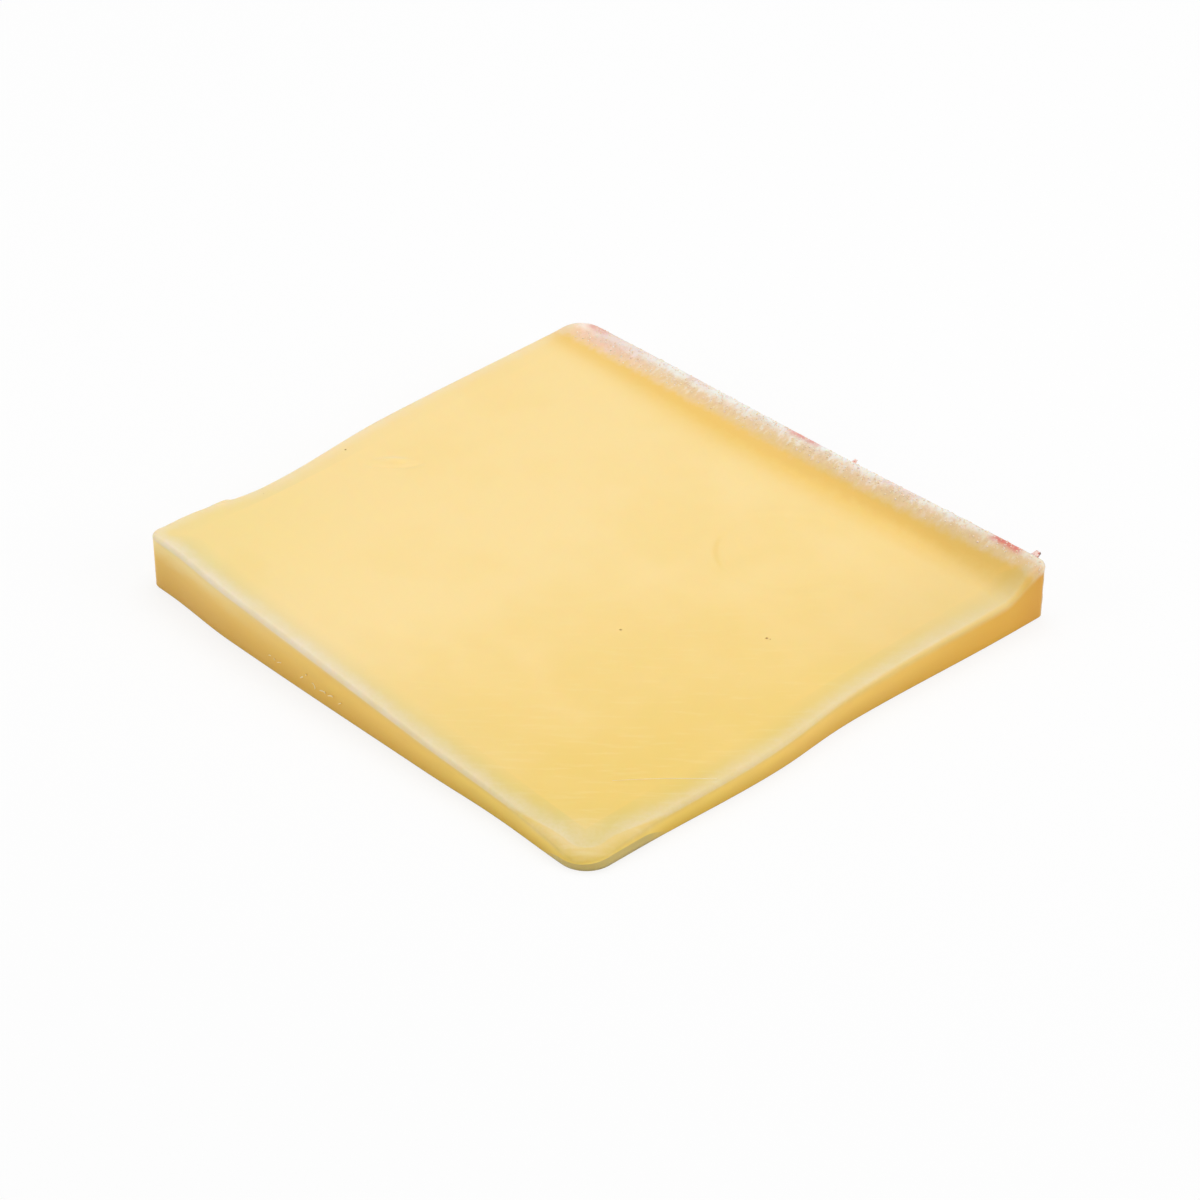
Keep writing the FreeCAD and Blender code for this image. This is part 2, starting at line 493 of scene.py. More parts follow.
def wall_relief(look, points, sides):
    """How far the upright sides stand out: faint ripples on the cuts, bumps on the rind."""
    ripple = layered(points * np.array([1.0, 1.0, 2.2]), SIDE_RIPPLES)
    rind = sides == RIND
    ripple[rind] += look.roughness * 0.5 * bumps(points[rind], 1.6 * MM, 7)
    return ripple - 0.05 * MM


# The slab's mesh --------------------------------------------------------------------------------

RIM_STEPS = 7
BORDER_STEPS = 13
BORDER_CROWDING = 1.15
WALL_STEPS = 11

# The toe's bevel: how far from the corner it reaches, and how steep its outer edge is
BEVEL_REACH = 26 * MM
BEVEL_TURN = math.radians(38)

# The worn edge over a side: where it lies in from the outline, as a share of the rim's radius
# and of the bevel's width, and how much further in it comes along the right side
ARRIS_SHARE = 0.3
ARRIS_BEVEL_SHARE = 0.9
ARRIS_SET_IN = 0.65 * MM

# How white the rim turns, partly dried and partly painted sheen: on the front by the heel and by
# the toe, on the right by the toe and by the rind, then on the left and along the rind
WHITE_FRONT = (1.0, 0.62)
WHITE_RIGHT = (0.52, 0.15)
WHITE_LEFT = 0.62
WHITE_RIND = 0.30

# The crease round the toe: over what length it fades out on each side and rises from its tip,
# how near it comes to the foot and the top, and how soon the side over it falls back
CREASE_FADE_FRONT = 6.5 * MM
CREASE_FADE_RIGHT = 8.0 * MM
CREASE_TIP_REACH = 7.0 * MM
CREASE_GAP = 0.2 * MM
CREASE_FALL = 1.3

# Rings of the sides below the crease, as shares of its height, and the rounding of the foot
LOWER_SHARES = (0.0, 0.35, 0.7, 0.96, 1.0)
FOOT_INSET = 0.10 * MM
FOOT_HEIGHT = 0.2 * MM

# Over what height the sides' ripples fade out at the foot and at the top
RIPPLE_FOOT = 0.8 * MM
RIPPLE_TOP = 0.6 * MM

# Where the underside's inner ring lies, as a share of the way to the middle
UNDERSIDE_MARGIN = 0.04


class RingMesh:
    """Gathers rings of points and the faces between them, with a value of each kind at each point."""

    def __init__(self):
        self.points = []
        self.values = {}
        self.faces = []
        self.count = 0

    def add(self, points, **values):
        """Adds points, with their values, and returns their numbers."""
        self.points.append(points)
        for name, value in values.items():
            self.values.setdefault(name, []).append(np.broadcast_to(value, len(points)).astype(float))
        numbers = np.arange(self.count, self.count + len(points))
        self.count += len(points)
        return numbers

    def bridge(self, outer, inner):
        """Faces between two rings of as many points, the first one outside or below."""
        self.faces.append(np.stack([outer, np.roll(outer, -1), np.roll(inner, -1), inner], axis=1))

    def mesh(self, name):
        """The finished mesh, with its values as point attributes."""
        mesh = bpy.data.meshes.new(name)
        quads = np.concatenate(self.faces).tolist()
        faces = [face if face[2] != face[3] else face[:3] for face in quads]
        mesh.from_pydata(np.concatenate(self.points).tolist(), [], faces)
        for value_name, parts in self.values.items():
            attribute = mesh.attributes.new(value_name, "FLOAT", "POINT")
            attribute.data.foreach_set("value", np.concatenate(parts))
        mesh.validate()
        mesh.shade_smooth()
        return mesh


def rim_white_and_sheen(sides, places, x):
    """How white the rim turns at each station: partly dried, partly painted sheen."""
    front = between(*WHITE_FRONT, smooth((places - 0.35) / 0.55))
    right = between(*WHITE_RIGHT, smooth((places - 0.72) / 0.26))
    on_side = [sides == FRONT, sides == RIGHT, sides == LEFT]
    strength = np.select(on_side, [front, right, WHITE_LEFT], WHITE_RIND)
    patchy = 0.88 + 0.12 * bumps(np.stack([x, sides * 1.0, places], axis=1), 14 * MM, 8)
    return eased_round(strength * patchy)


def eased_round(values, reach=9):
    """The values round the closed outline with their steps evened out."""
    wrapped = np.concatenate([values[-reach:], values, values[:reach]])
    return np.convolve(wrapped, np.full(reach, 1.0 / reach), "same")[reach:-reach]


def rim_radius(shape, sides, places):
    """Radius of the rim at each station."""
    by_rind = np.where(sides == RIGHT, smooth((places - 0.90) / 0.10), 0.0)
    cut = between(shape.cut_rim, shape.corner_rim, by_rind)
    return eased_round(np.where(sides <= RIGHT, cut, shape.left_rim))


def arris_line(shape, sides, places, rim, toe):
    """How far in from the outline the worn edge over the side lies at each station."""
    set_in = np.where(sides == RIGHT, ARRIS_SET_IN * smooth((places - 0.35) / 0.4), 0.0)
    return between(ARRIS_SHARE * rim, ARRIS_BEVEL_SHARE * shape.toe_rim, toe) + eased_round(set_in)


def top_profile(rim_width, rim_drop, toe, run_in):
    """Inset and drop of each ring of the top, over the rim and in to the end of the border."""
    first_turn = between(0.0, BEVEL_TURN, smooth(toe * 1.6))
    profile = []
    for step in range(RIM_STEPS + 1):
        turn = between(first_turn, np.pi / 2, step / RIM_STEPS)
        inset = rim_width * (np.cos(first_turn) - np.cos(turn)) / np.cos(first_turn)
        drop = rim_drop * (1.0 - np.sin(turn)) / (1.0 - np.sin(first_turn))
        profile.append((inset, drop))
    for step in range(1, BORDER_STEPS):
        share = (step / BORDER_STEPS) ** BORDER_CROWDING
        profile.append((between(rim_width, run_in, share), np.zeros_like(run_in)))
    return profile


def slab_rings(shape, look):
    """The whole closed surface of the slab as one gathered mesh."""
    outline, inwards, sides, places = stations(shape)
    grid, loop = middle_grid(shape)
    across = grid[loop][:, :2] - outline
    run_in = np.einsum("ij,ij->i", across, inwards)
    toe = toe_nearness(shape, outline[:, 0], outline[:, 1], BEVEL_REACH)
    rim = rim_radius(shape, sides, places)
    rim_width = between(rim, shape.toe_rim, toe)
    rim_drop = between(rim, shape.toe_rim_drop, toe)
    arris = arris_line(shape, sides, places, rim, toe)
    whiteness = rim_white_and_sheen(sides, places, outline[:, 0])

    def top_ring(inset, drop):
        """Points at this inset from the outline, this far under the smooth top."""
        flat = outline + across * (inset / run_in)[:, None]
        x, y = flat[:, 0], flat[:, 1]
        from_rind = rind_line(shape, x) - y
        calm = between(0.25, 1.0, smooth(inset / rim_width))
        z = top_height(shape, x, y) - drop + top_relief(look, x, y, from_rind, calm)
        return np.stack([x, y, z], axis=1), from_rind

    rings = RingMesh()
    profile = top_profile(rim_width, rim_drop, toe, run_in)
    edge, _ = top_ring(*profile[0])
    previous = wall_rings(shape, look, rings, edge, outline, inwards, sides, arris, whiteness)
    for inset, drop in profile[1:]:
        points, from_rind = top_ring(inset, drop)
        ring = rings.add(points, inset=inset, arris=inset - arris, wall=0.0, rind=from_rind,
                         crust=crust_distance(points[:, 0], from_rind),
                         whiteness=whiteness, facet=0.0, mark=0.0)
        rings.bridge(previous, ring)
        previous = ring
    add_middle(shape, look, rings, grid, loop, previous, whiteness)
    return rings


def crease(shape, outline):
    """Height of the crease at each station, and how much of it there is, from 0 to 1."""
    toe = sharp_corners(shape)[TOE]
    along_front = toe[0] - outline[:, 0]
    along_right = outline[:, 1] - toe[1]
    share = smooth((shape.crease_front - along_front) / CREASE_FADE_FRONT)
    share *= smooth((shape.crease_right - along_right) / CREASE_FADE_RIGHT)
    full = between(shape.crease_tip, shape.crease_height, smooth(along_right / CREASE_TIP_REACH))
    return between(CREASE_GAP, full, share), share


def wall_levels(crease_z, top_z):
    """Heights of the sides' rings, each with its level: 0 at the foot, 1 at the crease, 2 on top."""
    overs = [0.04] + [step / WALL_STEPS for step in range(1, WALL_STEPS)] + [0.97, 1.0]
    below = [(crease_z * share, share) for share in LOWER_SHARES]
    return below + [(between(crease_z, top_z, over), 1.0 + over) for over in overs]


def wall_rings(shape, look, rings, edge, outline, inwards, sides, arris, whiteness):
    """Adds the underside and the upright sides, and returns the ring at their top."""
    crease_z, creased = crease(shape, outline)
    top_z = edge[:, 2]
    crease_z = np.minimum(crease_z, top_z - CREASE_GAP)
    previous = None
    for z, level in wall_levels(crease_z, top_z):
        out = shape.overhang * creased * (level if level <= 1.0 else (2.0 - level) ** CREASE_FALL)
        foot = FOOT_INSET * (1.0 - smooth(z / FOOT_HEIGHT))
        flat = outline + inwards * (foot - out)[:, None]
        points = np.stack([flat[:, 0], flat[:, 1], z], axis=1)
        fade = smooth(z / RIPPLE_FOOT) * smooth((top_z - z) / RIPPLE_TOP)
        points[:, :2] -= inwards * (wall_relief(look, points, sides) * fade)[:, None]
        from_rind = rind_line(shape, flat[:, 0]) - flat[:, 1]
        ring = rings.add(points, inset=z - top_z, arris=z - top_z - arris, wall=1.0 - z / top_z,
                         rind=from_rind, crust=crust_distance(points[:, 0], from_rind),
                         whiteness=whiteness, facet=creased if level < 0.98 else 0.0, mark=0.0)
        if previous is None:
            add_underside(rings, points, ring)
        else:
            rings.bridge(previous, ring)
        previous = ring
    return previous


def add_underside(rings, points, ring):
    """Closes the flat underside with a ring a little inside the foot and a fan.

    Its wall value of 2 tells the material that this is paste and not the foot of a side.
    """
    centre = np.array([[0.0, 0.0, 0.0]])
    inner = between(points, centre, UNDERSIDE_MARGIN)
    values = {"wall": 2.0, "inset": -6 * MM, "arris": -6 * MM, "rind": 20 * MM, "crust": 20 * MM,
              "whiteness": 0.0, "facet": 0.0, "mark": 0.0}
    inner_ring = rings.add(inner, **values)
    rings.bridge(inner_ring, ring)
    middle = rings.add(centre, **values)
    hub = np.full(len(ring), middle[0])
    beside = np.roll(inner_ring, -1)
    rings.faces.append(np.stack([inner_ring, hub, beside, beside], axis=1))


def middle_grid(shape):
    """Points of the four-sided middle, close together by the rind, and the loop round them."""
    heel, toe, back_right, back_left = inner_corners(shape)
    u = np.linspace(0.0, 1.0, shape.columns + 1)
    v = np.linspace(0.0, 1.0, shape.rows + 1)
    u_grid, v_grid = np.meshgrid(u, 1.25 * v - 0.25 * v * v)
    u_grid = u_grid[..., None]
    v_grid = v_grid[..., None]
    points = between(between(heel, toe, u_grid), between(back_left, back_right, u_grid), v_grid)
    numbers = np.arange(points.shape[0] * points.shape[1]).reshape(points.shape[:2])
    loop = np.concatenate([numbers[0, :-1], numbers[:-1, -1], numbers[-1, :0:-1], numbers[:0:-1, 0]])
    return points.reshape(-1, 2), loop


def add_middle(shape, look, rings, grid, loop, previous, whiteness):
    """Adds the middle of the top, and joins it to the last ring of the border."""
    x, y = grid[:, 0], grid[:, 1]
    from_rind = rind_line(shape, x) - y
    z = top_height(shape, x, y) + top_relief(look, x, y, from_rind)
    numbers = rings.add(np.stack([x, y, z], axis=1), inset=shape.border, arris=shape.border, wall=0.0,
                        rind=from_rind, crust=crust_distance(x, from_rind),
                        whiteness=float(whiteness.mean()), facet=0.0, mark=mark_light_and_shade(x, y))
    rings.bridge(previous, numbers[loop])
    cells = numbers.reshape(shape.rows + 1, shape.columns + 1)
    quads = np.stack([cells[:-1, :-1], cells[:-1, 1:], cells[1:, 1:], cells[1:, :-1]], axis=-1)
    rings.faces.append(quads.reshape(-1, 4))


# Materials --------------------------------------------------------------------------------------


class NodeMaker:
    """Adds nodes to self.tree."""

    def feed(self, socket, value):
        """Links a socket, or sets it when the value is a plain one."""
        if isinstance(value, bpy.types.NodeSocket):
            self.tree.links.new(value, socket)
        else:
            socket.default_value = value

    def node(self, kind, inputs=None, **settings):
        """A new node with these settings, and with these of its inputs fed."""
        node = self.tree.nodes.new(kind)
        for key, value in settings.items():
            setattr(node, key, value)
        for key, value in (inputs or {}).items():
            self.feed(node.inputs[key], value)
        return node

    def math(self, operation, *values):
        """The result of a sum on these values."""
        return self.node("ShaderNodeMath", dict(enumerate(values)), operation=operation).outputs[0]


def opaque(colour):
    """A plain colour with full cover, or a colour socket as it is."""
    return colour if isinstance(colour, bpy.types.NodeSocket) else (*colour, 1.0)


class NodeBook(NodeMaker):
    """A material's node tree, with short calls for the nodes that the finishes here need."""

    def __init__(self, name):
        self.material = bpy.data.materials.new(name)
        self.material.use_nodes = True
        self.tree = self.material.node_tree
        self.bsdf = self.tree.nodes["Principled BSDF"]
        self.place = self.node("ShaderNodeTexCoord").outputs["Object"]
        self.x, self.y, self.z = self.node("ShaderNodeSeparateXYZ", {0: self.place}).outputs

    def attribute(self, name):
        """The values of one of the mesh's point attributes."""
        return self.node("ShaderNodeAttribute", attribute_name=name).outputs["Fac"]

    def product(self, first, *others):
        """All the values multiplied."""
        for other in others:
            first = self.math("MULTIPLY", first, other)
        return first

    def highest(self, first, *others):
        """The highest of the values."""
        for other in others:
            first = self.math("MAXIMUM", first, other)
        return first

    def span(self, value, low, high, start=0.0, end=1.0):
        """Eases from start to end as the value goes from low to high."""
        inputs = dict(enumerate((value, low, high, start, end)))
        return self.node("ShaderNodeMapRange", inputs, interpolation_type="SMOOTHSTEP").outputs[0]

    def noise(self, size, detail=2.0, vector=None, roughness=0.5):
        """Noise of 0 to 1 whose lumps are about this many metres."""
        return self.node("ShaderNodeTexNoise", {
            "Vector": vector or self.place, "Scale": 1.0 / size, "Detail": detail,
            "Roughness": roughness,
        }).outputs["Fac"]

    def mix(self, share, first, second):
        """Mix of two colours."""
        inputs = {0: share, 6: opaque(first), 7: opaque(second)}
        return self.node("ShaderNodeMix", inputs, data_type="RGBA").outputs[2]

    def tint(self, share, colour, filter_colour):
        """The colour seen through a filter of another, by this share."""
        inputs = {0: share, 6: colour, 7: opaque(filter_colour)}
        node = self.node("ShaderNodeMix", inputs, data_type="RGBA", blend_type="MULTIPLY")
        return node.outputs[2]

    def ramp(self, value, stops):
        """Colours at places between 0 and 1."""
        node = self.node("ShaderNodeValToRGB", {0: value})
        elements = node.color_ramp.elements
        while len(elements) < len(stops):
            elements.new(1.0)
        for element, (position, colour) in zip(elements, stops):
            element.position = position
            element.color = opaque(colour)
        return node.outputs[0]

    def stretched(self, turn, scale):
        """Object coordinates turned about the upright and stretched."""
        turned = self.node("ShaderNodeMapping", {"Vector": self.place, "Rotation": (0.0, 0.0, turn)})
        inputs = {0: turned.outputs[0], 1: scale}
        return self.node("ShaderNodeVectorMath", inputs, operation="MULTIPLY").outputs[0]

    def near(self, place, low, high):
        """1 within the low distance of a place, 0 past the high one."""
        node = self.node("ShaderNodeVectorMath", {0: self.place, 1: place}, operation="DISTANCE")
        return self.span(node.outputs["Value"], low, high, 1.0, 0.0)

    def bump(self, heights):
        """Chain of bumps from pairs of height and distance in metres."""
        normal = None
        for height, distance in heights:
            node = self.node("ShaderNodeBump", {"Height": height, "Distance": distance})
            if normal is not None:
                self.feed(node.inputs["Normal"], normal)
            normal = node.outputs[0]
        self.feed(self.bsdf.inputs["Normal"], normal)


# Pinholes in the top, as places and radii; their dark colour is painted shade
PINHOLES = [
    ((20.8 * MM, -11.2 * MM, 8.6 * MM), 0.30 * MM),
    ((42.5 * MM, 8.6 * MM, 7.6 * MM), 0.26 * MM),
    ((-63.3 * MM, -12.0 * MM, 11.9 * MM), 0.20 * MM),
    ((-62.3 * MM, -35.4 * MM, 11.8 * MM), 0.20 * MM),
    ((43.2 * MM, 8.9 * MM, 7.6 * MM), 0.18 * MM),
]

# Roughness of the moist paste, and of the dry crust, rind and rim
MOIST = 0.46
DRY = 0.85


def waxy(book, roughness, inner_light=0.0):
    """The gloss that all the pieces have, and how much light goes into them."""
    inputs = book.bsdf.inputs
    book.feed(inputs["Roughness"], roughness)
    inputs["Specular IOR Level"].default_value = 0.42
    inputs["Subsurface Weight"].default_value = inner_light
    inputs["Subsurface Radius"].default_value = (1.0, 0.55, 0.22)
    inputs["Subsurface Scale"].default_value = 2.2 * MM


# The fine streaks in the top lie at this turn from X
STREAK_TURN = math.radians(46.5)

# The heel's corner on the top
HEEL_TOP = (-67 * MM, -63 * MM, 12 * MM)

# How far in from the rind the colours of the crust and of the gold paste are spread
GOLD_REACH = 25 * MM


def top_paste(book, paste):
    """The top's colour, deeper where the slab is low and thin, which also paints the shade where the
    light falls off towards the front, with fine pale streaks there.
    """
    # Painted shade: the paste deepens where the top is low, towards the front and the toe.
    thin = book.span(book.z, 11.7 * MM, 2.5 * MM)
    cloud = book.span(book.noise(19 * MM, 2.0), 0.3, 0.7, -0.10, 0.10)
    thin = book.math("ADD", thin, cloud)
    top = book.mix(thin, paste.top, paste.thin)
    streaks = book.noise(1.0, 3.0, book.stretched(-STREAK_TURN, (130.0, 900.0, 500.0)))
    share = book.product(book.span(streaks, 0.50, 0.75), thin, 0.28)
    return book.mix(share, top, shade(250, 226, 160))


def side_paste(book, paste, to_toe):
    """Colour of the cut sides and of the underside; on the sides, painted shade that deepens to the
    foot, a painted light band under the rim on the left and a painted contact shadow along the foot.
    """
    wall = book.attribute("wall")
    from_rind = book.attribute("rind")
    # Painted shade: the sides deepen from their top down to the foot.
    side = book.mix(book.span(wall, 0.15, 1.0), paste.wall, paste.foot)
    blotch = book.noise(1.0, 2.0, book.stretched(0.0, (160.0, 160.0, 420.0)))
    side = book.mix(book.span(blotch, 0.35, 0.75, 0.0, 0.25), side, shade(232, 186, 90))
    side = book.mix(book.span(from_rind, 60 * MM, 2 * MM, 0.0, 0.9), side, shade(232, 174, 48))
    side = book.tint(book.span(from_rind, 12 * MM, 1 * MM), side, (0.93, 0.86, 0.84))
    side = book.tint(book.span(to_toe, 70 * MM, 106 * MM), side, (0.99, 1.08, 1.04))
    by_left = book.span(book.x, -5 * MM, -60 * MM)
    side = book.tint(by_left, side, (0.94, 0.92, 1.0))
    depth = book.math("ADD", book.attribute("inset"), book.product(blotch, 3 * MM))
    # Painted light: a pale band at the top of the sides' left part, under the rim.
    painted_light_band = book.product(book.span(depth, -4.0 * MM, 1.2 * MM), by_left, 0.85)
    side = book.mix(painted_light_band, side, shade(252, 228, 156))
    # Painted contact shadow: a thin dark line along the foot of the sides.
    contact_shadow_line = book.span(book.z, 0.45 * MM, 0.05 * MM, 0.0, 0.55)
    side = book.mix(contact_shadow_line, side, shade(176, 132, 62))
    return book.mix(book.span(wall, 1.1, 1.8), side, paste.wall)


def hazed(book, top):
    """The top with the cool haze that lies inside its rim."""
    arris = book.attribute("arris")
    haze = book.product(
        book.span(arris, 8.0 * MM, 0.5 * MM),
        book.span(arris, -0.7 * MM, 0.15 * MM, 0.05, 1.0),
        book.span(book.x, -66 * MM, -56 * MM, 0.25, 1.0),
        book.span(book.x, 52 * MM, 64 * MM, 1.0, 0.78),
    )
    return book.tint(haze, top, (0.86, 0.94, 1.04))


def front_shade_and_corners(book, top, to_toe):
    """Painted shade: the top a little darker along the front and towards three of its corners, most of
    it where the light falls off towards the front.
    """
    front_shade = book.product(book.span(book.y, -44 * MM, -60 * MM), book.span(book.x, 60 * MM, 30 * MM))
    top = book.tint(front_shade, top, (0.97, 0.985, 1.01))
    by_corner = book.product(book.span(book.x, 34 * MM, 62 * MM), book.span(book.y, 0 * MM, 40 * MM))
    top = book.tint(by_corner, top, (0.925, 0.925, 0.91))
    top = book.tint(book.near(HEEL_TOP, 14 * MM, 50 * MM), top, (0.965, 0.99, 0.90))
    return book.tint(book.span(to_toe, 98 * MM, 120 * MM), top, (0.95, 0.98, 0.98))


def lit_and_shaded_marks(book, top):
    """The top with its marks' painted highlights, and their painted shade in the grooves, where the
    paste is also darker.
    """
    mark = book.attribute("mark")
    top = book.mix(book.span(mark, 0.0, 1.0, 0.0, 0.55), top, shade(253, 234, 200))
    return book.tint(book.span(mark, 0.0, -1.0), top, (0.95, 0.90, 0.70))


def rim_white_and_sheen_share(book, to_toe):
    """Whitening, partly dried paste and partly painted sheen: most along the rim, and down the bevel at
    the toe.
    """
    arris = book.attribute("arris")
    ragged = book.product(book.math("SUBTRACT", book.noise(2.2 * MM, 2.0), 0.5), 1.6 * MM)
    fade = book.span(book.math("ADD", arris, ragged), 4.2 * MM, -0.6 * MM)
    edge = book.product(fade, book.span(arris, -0.85 * MM, -0.15 * MM))
    on_bevel = book.span(arris, -3.4 * MM, -0.6 * MM)
    bevel = book.product(book.span(to_toe, 106 * MM, 122 * MM), on_bevel, 0.7)
    return book.product(
        book.highest(edge, bevel),
        book.attribute("whiteness"),
        book.span(book.noise(0.8 * MM, 2.0), 0.2, 0.7, 0.75, 1.0),
        book.span(book.noise(6.0 * MM, 2.0), 0.3, 0.6, 0.72, 1.0),
    )


def paste_colour(book, paste, rind):
    """Colour of the whole slab but the rind's outer face, and how whitened it is by drying and painted
    sheen.
    """
    to_toe = book.math("SUBTRACT", book.x, book.y)
    top = hazed(book, rind_colour(book, rind, top_paste(book, paste)))
    top = lit_and_shaded_marks(book, front_shade_and_corners(book, top, to_toe))
    is_side = book.span(book.attribute("inset"), -1.6 * MM, 0.3 * MM, 1.0, 0.0)
    colour = book.mix(is_side, top, side_paste(book, paste, to_toe))
    # Painted shade on the cut under the toe's crease.
    colour = book.mix(book.attribute("facet"), colour, paste.shade)
    # The rim's whitening: partly dried paste, partly painted sheen.
    white = rim_white_and_sheen_share(book, to_toe)
    return book.mix(white, colour, paste.rim), white


def crustiness(book):
    """How far the crust's edge wanders, and 1 on the crumbly crust and 0 past that edge."""
    wander = book.math("SUBTRACT", book.noise(2.4 * MM, 4.0, roughness=0.7), 0.5)
    ragged = book.product(wander, 5.0 * MM)
    distance = book.math("ADD", book.attribute("crust"), ragged)
    on_top = book.span(book.attribute("inset"), -0.8 * MM, 0.2 * MM)
    past_end = book.span(book.x, -67 * MM, -62 * MM)
    return ragged, book.product(book.span(distance, 9.0 * MM, 6.0 * MM), on_top, past_end)


def crust_zones(book, rind, ragged):
    """Colours by the distance from the rind: crust, blush, gold, and back towards the top's."""
    share = book.math("DIVIDE", book.math("ADD", book.attribute("crust"), ragged), GOLD_REACH)
    return book.ramp(share, [
        (0.0, rind.crust), (0.10, rind.crust), (0.20, rind.blush), (0.30, shade(240, 205, 144)),
        (0.39, rind.gold), (0.45, rind.gold), (0.53, shade(242, 202, 108)),
        (0.64, shade(244, 207, 120)), (0.76, shade(246, 211, 130)), (0.92, shade(248, 216, 140)),
    ])


def crumbled(book, zone, crusty):
    """The crust with its pale and dull crumbs, and the flush that lies over it in patches."""
    speckle = book.noise(1.0, 3.0, book.stretched(0.0, (900.0, 420.0, 600.0)), roughness=0.6)
    outer = book.span(book.attribute("crust"), 8.5 * MM, 5.0 * MM, 0.3, 1.0)
    pale = book.product(book.span(speckle, 0.50, 0.66), crusty, 0.55, outer)
    zone = book.mix(pale, zone, shade(255, 244, 228))
    dull = book.product(book.span(speckle, 0.47, 0.33), crusty, 0.34)
    zone = book.mix(dull, zone, shade(230, 190, 146))
    flush = book.product(book.span(book.noise(5.5 * MM, 2.0), 0.48, 0.72), crusty, 0.20)
    zone = book.mix(flush, zone, shade(244, 198, 174))
    by_left = book.product(book.span(book.x, -36 * MM, -56 * MM), crusty, 0.55)
    zone = book.mix(by_left, zone, shade(244, 200, 182))
    by_right = book.product(book.span(book.x, 36 * MM, 62 * MM), crusty, 0.32)
    return book.mix(by_right, zone, shade(250, 210, 150))


def rind_colour(book, rind, paste_top):
    """Lays the crust's and the gold paste's colours over the top's, by the distance from the rind."""
    ragged, crusty = crustiness(book)
    zone = crumbled(book, crust_zones(book, rind, ragged), crusty)
    outer_edge = book.span(book.attribute("rind"), 0.9 * MM, 0.45 * MM, 0.0, 0.8)
    zone = book.mix(outer_edge, zone, shade(178, 168, 158))
    narrower = book.span(book.x, -55 * MM, -5 * MM, 4 * MM, 0.0)
    reach = book.math("ADD", book.attribute("rind"), narrower)
    return book.mix(book.span(reach, 9.5 * MM, 22.0 * MM, 1.0, 0.0), paste_top, zone)


# Patches of red on the rind, by their place along it, half length and strength
STAINS = [(-61.5 * MM, 3.4 * MM, 0.55), (1.5 * MM, 5.2 * MM, 0.8), (58.5 * MM, 4.6 * MM, 1.0),
          (-30.0 * MM, 4.0 * MM, 0.25), (30.0 * MM, 6.0 * MM, 0.3)]


def stain_share(book):
    """Where the rind is red: letterless rubbed patches along the top of its outer face."""
    patches = []
    for place, half, strength in STAINS:
        away = book.math("ABSOLUTE", book.math("SUBTRACT", book.x, place))
        patches.append(book.span(away, half * 1.2, half * 0.5, 0.0, strength))
    wander = book.product(book.noise(2.4 * MM, 3.0), 7 * MM)
    return book.product(
        book.highest(*patches),
        book.span(book.math("ADD", book.z, wander), 12.0 * MM, 14.5 * MM),
        book.span(book.noise(1.5 * MM, 2.0), 0.30, 0.52, 0.35, 1.0),
        book.span(book.attribute("rind"), 3.2 * MM, 1.5 * MM, 0.0, 0.85),
    )


def slab_material(paste, rind):
    """Waxy paste that turns gold and then crumbly towards the rind."""
    book = NodeBook("alpine cheese")
    colour, white = paste_colour(book, paste, rind)
    _, crusty = crustiness(book)
    on_side = book.span(book.attribute("inset"), 0.1 * MM, -0.5 * MM)
    skin = book.product(book.span(book.attribute("rind"), 1.5 * MM, 0.9 * MM), on_side)
    mottle = book.span(book.noise(1.6 * MM, 4.0, roughness=0.65), 0.35, 0.65)
    colour = book.mix(skin, colour, book.mix(mottle, rind.skin, shade(232, 216, 194)))
    colour = book.mix(stain_share(book), colour, rind.stain)
    # Painted shade: the pinholes are coloured dark, besides their sunk bump.
    shaded_pinhole = book.highest(*[book.near(place, radius * 0.5, radius * 1.5) for place, radius in PINHOLES])
    colour = book.mix(shaded_pinhole, colour, shade(176, 118, 38))
    book.feed(book.bsdf.inputs["Base Color"], colour)
    dry = book.highest(crusty, skin, book.product(white, 0.5))
    waxy(book, book.span(dry, 0.0, 1.0, MOIST, DRY), inner_light=0.30)
    crumbs = book.product(book.noise(0.5 * MM, 2.0, roughness=0.6), book.highest(crusty, skin))
    book.bump([
        (book.noise(3.5 * MM, 2.0), 0.02 * MM),
        (book.noise(0.45 * MM, 2.0), 0.006 * MM),
        (crumbs, 0.08 * MM),
        (book.product(shaded_pinhole, -1.0), 0.3 * MM),
    ])
    return book.material


def grain_material():
    """Dry crumbs of crust, each a little paler or darker than the next."""
    book = NodeBook("crust grains")
    waxy(book, roughness=0.75)
    tone = book.attribute("tone")
    colour = book.ramp(tone, [(0.0, shade(240, 208, 164)), (0.35, shade(244, 220, 188)),
                              (0.7, shade(248, 236, 220)), (1.0, shade(242, 210, 190))])
    book.feed(book.bsdf.inputs["Base Color"], colour)
    book.bump([(book.noise(0.25 * MM, 2.0), 0.02 * MM)])
    return book.material


def shaving_material():
    """Pale curls of paste; their paler colour is partly painted highlight for their glints."""
    book = NodeBook("paste shavings")
    waxy(book, roughness=0.35)
    colour = book.mix(book.noise(1.2 * MM, 2.0), shade(255, 242, 204), shade(250, 226, 160))
    book.feed(book.bsdf.inputs["Base Color"], colour)
    book.bump([(book.noise(0.3 * MM, 2.0), 0.01 * MM)])
    return book.material


def flake_material(rind):
    """Stained flakes of rind."""
    book = NodeBook("rind flakes")
    waxy(book, roughness=0.7)
    rubbed = book.span(book.noise(0.7 * MM, 3.0), 0.32, 0.56)
    colour = book.mix(rubbed, rind.stain, shade(246, 214, 202))
    book.feed(book.bsdf.inputs["Base Color"], colour)
    book.bump([(book.noise(0.3 * MM, 2.0), 0.03 * MM)])
    return book.material


# Pieces -----------------------------------------------------------------------------------------


